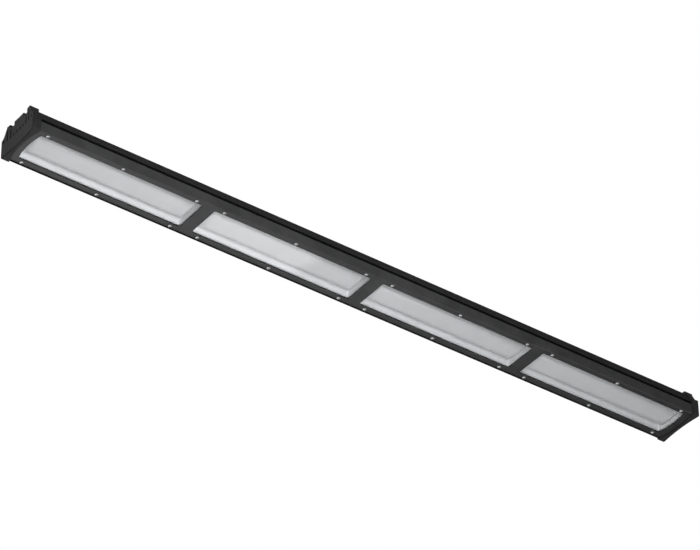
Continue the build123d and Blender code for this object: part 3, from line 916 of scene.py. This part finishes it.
@dataclass
class CoverScrewSet:
    """The pan heads of the cover screws, each with its shank, a hexagon socket and a rounded rim."""

    shelf: FinishShelf
    columns_mm: tuple[float, ...] = (570.0, 445.2, 320.4, 273.2, 148.4, 23.6)
    row: float = 34.7 * MM
    head_radius: float = 2.8 * MM
    shank_radius: float = 1.5 * MM
    socket_radius: float = 1.0 * MM
    socket_depth: float = 0.9 * MM
    socket_ease: float = 1.06
    head_height: float = 1.7 * MM
    rim_share: float = 0.5
    rim_steps: int = 4
    sides: int = 24
    turn_per_metre: float = 97.0

    def build(self) -> None:
        """Builds every screw in one mesh, in the place of the CAD screws."""
        low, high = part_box("cover_screws")
        mesh = bmesh.new()
        self.screw(mesh, high.z - low.z)
        pattern = mesh.verts[:] + mesh.edges[:] + mesh.faces[:]
        reach = high.x - self.head_radius
        places = [
            (side_x * min(column * MM, reach), side_y * self.row)
            for column in self.columns_mm for side_x in (-1, 1) for side_y in (-1, 1)
        ]
        for x, y in places:
            verts = verts_of(bmesh.ops.duplicate(mesh, geom=pattern)["geom"])
            turn = Matrix.Rotation(x * self.turn_per_metre, 3, "Z")
            bmesh.ops.rotate(mesh, verts=verts, cent=(0, 0, 0), matrix=turn)
            bmesh.ops.translate(mesh, verts=verts, vec=(x, y, low.z))
        bmesh.ops.delete(mesh, geom=verts_of(pattern), context="VERTS")
        piece = settle(mesh, "cover_screw_heads", smooth=True, sharp_degrees=35.0)
        self.shelf.dress(piece, "screw_steel")
        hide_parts("cover_screws")
        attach(piece, BODY)
        LOG.info("piece %s", piece.name)

    def screw(self, mesh: bmesh.types.BMesh, length: float) -> None:
        """One screw on the Z axis, its head's outer face at 0 and its shank upward.

        Args:
            mesh: the bmesh that gets it.
            length: from the head's outer face to the shank's end.
        """
        bmesh.ops.create_circle(mesh, cap_ends=True, radius=self.head_radius, segments=self.sides)
        self.push(mesh, mesh.faces[:], self.head_height)
        rim = [e for e in mesh.edges if all(abs(v.co.z) < NEAR_ZERO for v in e.verts)]
        bmesh.ops.bevel(
            mesh, geom=rim, offset=self.head_height * self.rim_share, affect="EDGES",
            segments=self.rim_steps, profile=0.5, material=-1,
        )
        outer = min(mesh.faces, key=lambda f: (round(f.calc_center_median().z, 6), -len(f.verts)))
        self.socket(mesh, outer)
        back = max(mesh.faces, key=lambda f: (round(f.calc_center_median().z, 6), len(f.verts)))
        bmesh.ops.inset_region(
            mesh, faces=[back], thickness=self.head_radius - self.shank_radius, depth=0.0, use_even_offset=True,
        )
        self.push(mesh, [back], length - self.head_height)

    def socket(self, mesh: bmesh.types.BMesh, outer: bmesh.types.BMFace) -> None:
        """Sinks a hexagon socket into the head.

        Args:
            mesh: the screw's bmesh.
            outer: the head's outer face.
        """
        inset = (outer.calc_perimeter() / math.tau) - self.socket_radius * self.socket_ease
        bmesh.ops.inset_region(mesh, faces=[outer], thickness=inset, depth=0.0, use_even_offset=True)
        side = math.pi / 3
        for vert in outer.verts:
            angle = math.atan2(vert.co.y, vert.co.x) % side - side / 2
            reach = self.socket_radius * math.cos(side / 2) / math.cos(angle)
            flat = Vector((vert.co.x, vert.co.y, 0.0)).normalized() * reach
            vert.co.x, vert.co.y = flat.x, flat.y
        self.push(mesh, [outer], self.socket_depth)

    def push(self, mesh: bmesh.types.BMesh, faces: list[bmesh.types.BMFace], height: float) -> None:
        """Extrudes faces along Z by a height."""
        moved = bmesh.ops.extrude_face_region(mesh, geom=faces)
        bmesh.ops.translate(mesh, verts=verts_of(moved["geom"]), vec=(0, 0, height))


@dataclass
class CadDresser:
    """Gives each carried-over CAD node its finish."""

    shelf: FinishShelf
    nodes: dict[str, bpy.types.Object]
    by_name: tuple[tuple[str, str], ...] = (
        ("housing", "housing_coat"),
        ("front_plate", "frame_coat"),
        ("end_cap_", "cap_moulding"),
        ("end_gasket_", "seal_rubber"),
        ("cover_gasket_", "seal_rubber"),
        ("cover_glass_", "clear_cover"),
        ("cover_screws", "screw_steel"),
        ("reflector_tray_", "white_tray"),
        ("optic_bar_", "frosted_optic"),
        ("led_board_", "white_board"),
        ("led_chips_", "source_lens"),
        ("driver_case", "driver_sheet"),
        ("driver_board", "green_board"),
        ("driver_cores", "core_ferrite"),
        ("driver_windings", "winding_tape"),
        ("driver_capacitors", "capacitor_sleeve"),
        ("terminal_block", "terminal_moulding"),
        ("terminal_screws", "terminal_brass"),
        ("supply_wires", "supply_cover"),
        ("feed_wires", "feed_cover"),
        ("board_jumpers", "feed_cover"),
        ("feed_bushing", "seal_rubber"),
        ("gland_washer", "seal_rubber"),
        ("gland_seal", "seal_rubber"),
        ("gland_", "gland_moulding"),
    )

    def build(self) -> None:
        """Dresses every node by the first name that fits it."""
        for name, thing in sorted(self.nodes.items()):
            finish = next(f for start, f in self.by_name if name.startswith(start))
            self.shelf.dress(thing, finish)
            LOG.info("node %s: %s", name, finish)


@dataclass(frozen=True)
class GlossCard:
    """A card that only gloss sees, in one tone before a soft edge and in another, or open, beyond it.

    The edge is where across, times the card's coordinates, adds up to edge.
    """

    name: str
    low: Triple
    high: Triple
    across: Triple
    edge: float
    blur: float
    before: float
    beyond: float | None

    def build(self) -> None:
        """Makes the card and hides it from all but glossy rays."""
        mesh = bmesh.new()
        bmesh.ops.create_cube(mesh, size=1.0)
        low, high = Vector(self.low), Vector(self.high)
        bmesh.ops.scale(mesh, vec=high - low, verts=mesh.verts)
        bmesh.ops.translate(mesh, vec=(low + high) / 2, verts=mesh.verts)
        card = settle(mesh, self.name, smooth=False)
        card.data.materials.append(self.glow())
        card.visible_camera = card.visible_diffuse = card.visible_shadow = card.visible_transmission = False

    def glow(self) -> bpy.types.Material:
        """The card's light, which changes at the edge.

        Returns:
            The card's material.
        """
        desk = MaterialDesk(self.name)
        along = desk.node("ShaderNodeVectorMath", operation="DOT_PRODUCT")
        along.inputs[1].default_value = self.across
        desk.join(desk.place, along.inputs[0])
        start, end = self.edge - self.blur, self.edge + self.blur
        side = desk.span(along.outputs["Value"], start=start, end=end, curve="SMOOTHSTEP")
        glow = desk.node("ShaderNodeEmission")
        if self.beyond is not None:
            desk.join(desk.span(side, self.before, self.beyond), glow.inputs["Strength"])
            return desk.end(glow.outputs["Emission"])
        glow.inputs["Strength"].default_value = self.before
        clear = desk.node("ShaderNodeBsdfTransparent")
        return desk.end(desk.mixed(side, glow.outputs["Emission"], clear.outputs["BSDF"]))


@dataclass(frozen=True)
class SoftLamp:
    """A soft rectangular lamp, seen neither by the camera nor by gloss."""

    name: str
    place: Triple
    aim: Triple
    size: tuple[float, float]
    watts: float

    def build(self) -> None:
        """Hangs the lamp and turns it to its aim."""
        data = bpy.data.lights.new(self.name, "AREA")
        data.shape = "RECTANGLE"
        data.size, data.size_y = self.size
        data.energy = self.watts
        lamp = bpy.data.objects.new(self.name, data)
        bpy.context.scene.collection.objects.link(lamp)
        lamp.location = self.place
        lamp.rotation_euler = (Vector(self.aim) - Vector(self.place)).to_track_quat("-Z", "Y").to_euler()
        lamp.visible_camera = lamp.visible_glossy = False


@dataclass
class Studio:
    """The pale floor, the white surround, the soft lamps and the cards that the gloss shows."""

    floor_reach: float = 6.0
    floor_sides: int = 96
    floor_drop: float = 0.0004
    floor_tone: Colour = (0.86, 0.86, 0.86)
    floor_rough: float = 0.9
    floor_specular: float = 0.1
    ambient: float = 0.3
    cards: tuple[GlossCard, ...] = (
        GlossCard(
            "lower_end_card", (-3.5, -0.6, -1.89), (0.45, 4.5, -1.87), (1.0, 0.0, 0.0),
            edge=0.4, blur=0.05, before=2.3, beyond=None,
        ),
        GlossCard(
            "lower_bright_card", (1.045, -0.6, -1.92), (5.5, 4.5, -1.9), (1.0, 0.209, 0.0),
            edge=1.7577, blur=0.02, before=2.1, beyond=None,
        ),
        GlossCard(
            "lower_left_card", (-3.5, -0.6, -1.95), (1.06, 4.5, -1.93), (1.0, 0.0, 0.0),
            edge=3.0, blur=0.02, before=1.12, beyond=None,
        ),
        GlossCard(
            "lower_right_card", (0.9, -0.6, -1.98), (9.0, 4.5, -1.96), (1.0, 0.0, 0.0),
            edge=1.8, blur=0.5, before=0.35, beyond=0.0,
        ),
        GlossCard(
            "upper_right_card", (1.2, -9.0, 1.46), (12.0, 2.5, 1.48), (-1.0, 0.0, 0.0),
            edge=-1.8, blur=0.35, before=0.0, beyond=None,
        ),
        GlossCard(
            "upper_card", (-6.0, -9.0, 1.5), (12.0, 2.55, 1.52), (0.25, 1.0, 0.0),
            edge=-1.1, blur=0.4, before=0.6, beyond=0.02,
        ),
        GlossCard(
            "upper_end_card", (-6.0, -0.5, 1.42), (-0.9, 2.55, 1.44), (1.0, 0.0, 0.0),
            edge=3.0, blur=0.1, before=1.3, beyond=0.0,
        ),
        GlossCard(
            "far_card", (-2.5, 2.6, -1.0), (9.0, 2.62, 1.4), (1.0, 0.0, 0.0),
            edge=0.0, blur=1.0, before=0.04, beyond=0.04,
        ),
    )
    lamps: tuple[SoftLamp, ...] = (
        SoftLamp("key", (-0.3, -0.95, -0.44), (-0.14, 0.0, 0.0), (0.7, 0.4), watts=7.0),
        SoftLamp("below", (-0.06, -0.1, -0.9), (-0.06, 0.0, 0.0), (0.6, 0.5), watts=1.6),
        SoftLamp("side", (-0.2, -2.4, 0.9), (0.0, 0.0, 0.0), (3.0, 1.2), watts=6.0),
        SoftLamp("top", (0.0, 0.4, 2.6), (0.0, 0.0, 0.0), (2.4, 1.6), watts=30.0),
    )

    def build(self) -> None:
        """Builds the whole stage."""
        self.surround()
        self.floor()
        for thing in self.cards + self.lamps:
            thing.build()

    def surround(self) -> None:
        """A white surround for the camera, gloss and glass, and a dimmer even light for the rest."""
        world = bpy.data.worlds.new("white_surround")
        bpy.context.scene.world = world
        world.use_nodes = True
        desk = NodeDesk(world.node_tree)
        shade = desk.tree.nodes["Background"]
        desk.feed((1.0, 1.0, 1.0), shade.inputs["Color"])
        path = desk.node("ShaderNodeLightPath").outputs
        seen = desk.maths("MAXIMUM", path["Is Camera Ray"], path["Is Glossy Ray"])
        both = desk.maths("MAXIMUM", seen, path["Is Transmission Ray"])
        desk.join(desk.span(both, self.ambient, 1.0), shade.inputs["Strength"])

    def floor(self) -> None:
        """A pale floor under the light, seen from above only, that keeps the light's shadow."""
        mesh = bmesh.new()
        bmesh.ops.create_circle(mesh, cap_ends=True, radius=self.floor_reach, segments=self.floor_sides)
        bmesh.ops.translate(mesh, verts=mesh.verts, vec=(0, 0, -self.floor_drop))
        floor = settle(mesh, "pale_floor", smooth=False)
        desk = MaterialDesk("pale_floor")
        desk.feed(self.floor_tone, desk.shader.inputs["Base Color"])
        desk.fixed(Roughness=self.floor_rough, Specular_IOR_Level=self.floor_specular)
        above = desk.maths("SUBTRACT", 1.0, desk.node("ShaderNodeNewGeometry").outputs["Backfacing"])
        seen = desk.maths("MULTIPLY", above, desk.node("ShaderNodeLightPath").outputs["Is Camera Ray"])
        clear = desk.node("ShaderNodeBsdfTransparent")
        floor.data.materials.append(desk.end(desk.mixed(seen, clear.outputs["BSDF"], desk.shader.outputs["BSDF"])))


@dataclass
class PhotoCamera:
    """The camera at the photograph's place and angle."""

    place: Triple = (-2.7523, -3.7031, -3.4960)
    right: Triple = (0.80988, -0.58652, -0.00989)
    up: Triple = (-0.35010, -0.49682, 0.79410)
    back: Triple = (-0.47067, -0.63966, -0.60770)
    lens: float = 203.86
    sensor: float = 36.0
    clip: tuple[float, float] = (0.05, 100.0)

    def build(self) -> None:
        """Makes the camera and gives it to the scene."""
        data = bpy.data.cameras.new("photo_camera")
        data.sensor_width, data.sensor_fit, data.lens = self.sensor, "HORIZONTAL", self.lens
        data.clip_start, data.clip_end = self.clip
        camera = bpy.data.objects.new("photo_camera", data)
        bpy.context.scene.collection.objects.link(camera)
        turn = Matrix((self.right, self.up, self.back)).transposed().to_4x4()
        camera.matrix_world = Matrix.Translation(self.place) @ turn
        bpy.context.scene.camera = camera


def main() -> None:
    """Builds the camera, the stage, the finishes and the pieces in order."""
    logging.basicConfig(level=logging.INFO, format="%(name)s: %(message)s")
    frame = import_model()
    scene = bpy.context.scene
    scene.view_settings.view_transform = "Standard"
    PhotoCamera().build()
    Studio().build()
    shelf = FinishShelf()
    shelf.build()
    CadDresser(shelf, frame["nodes"]).build()
    OpticSet(shelf).build()
    CoverScrewSet(shelf).build()


if __name__ == "__main__":
    main()
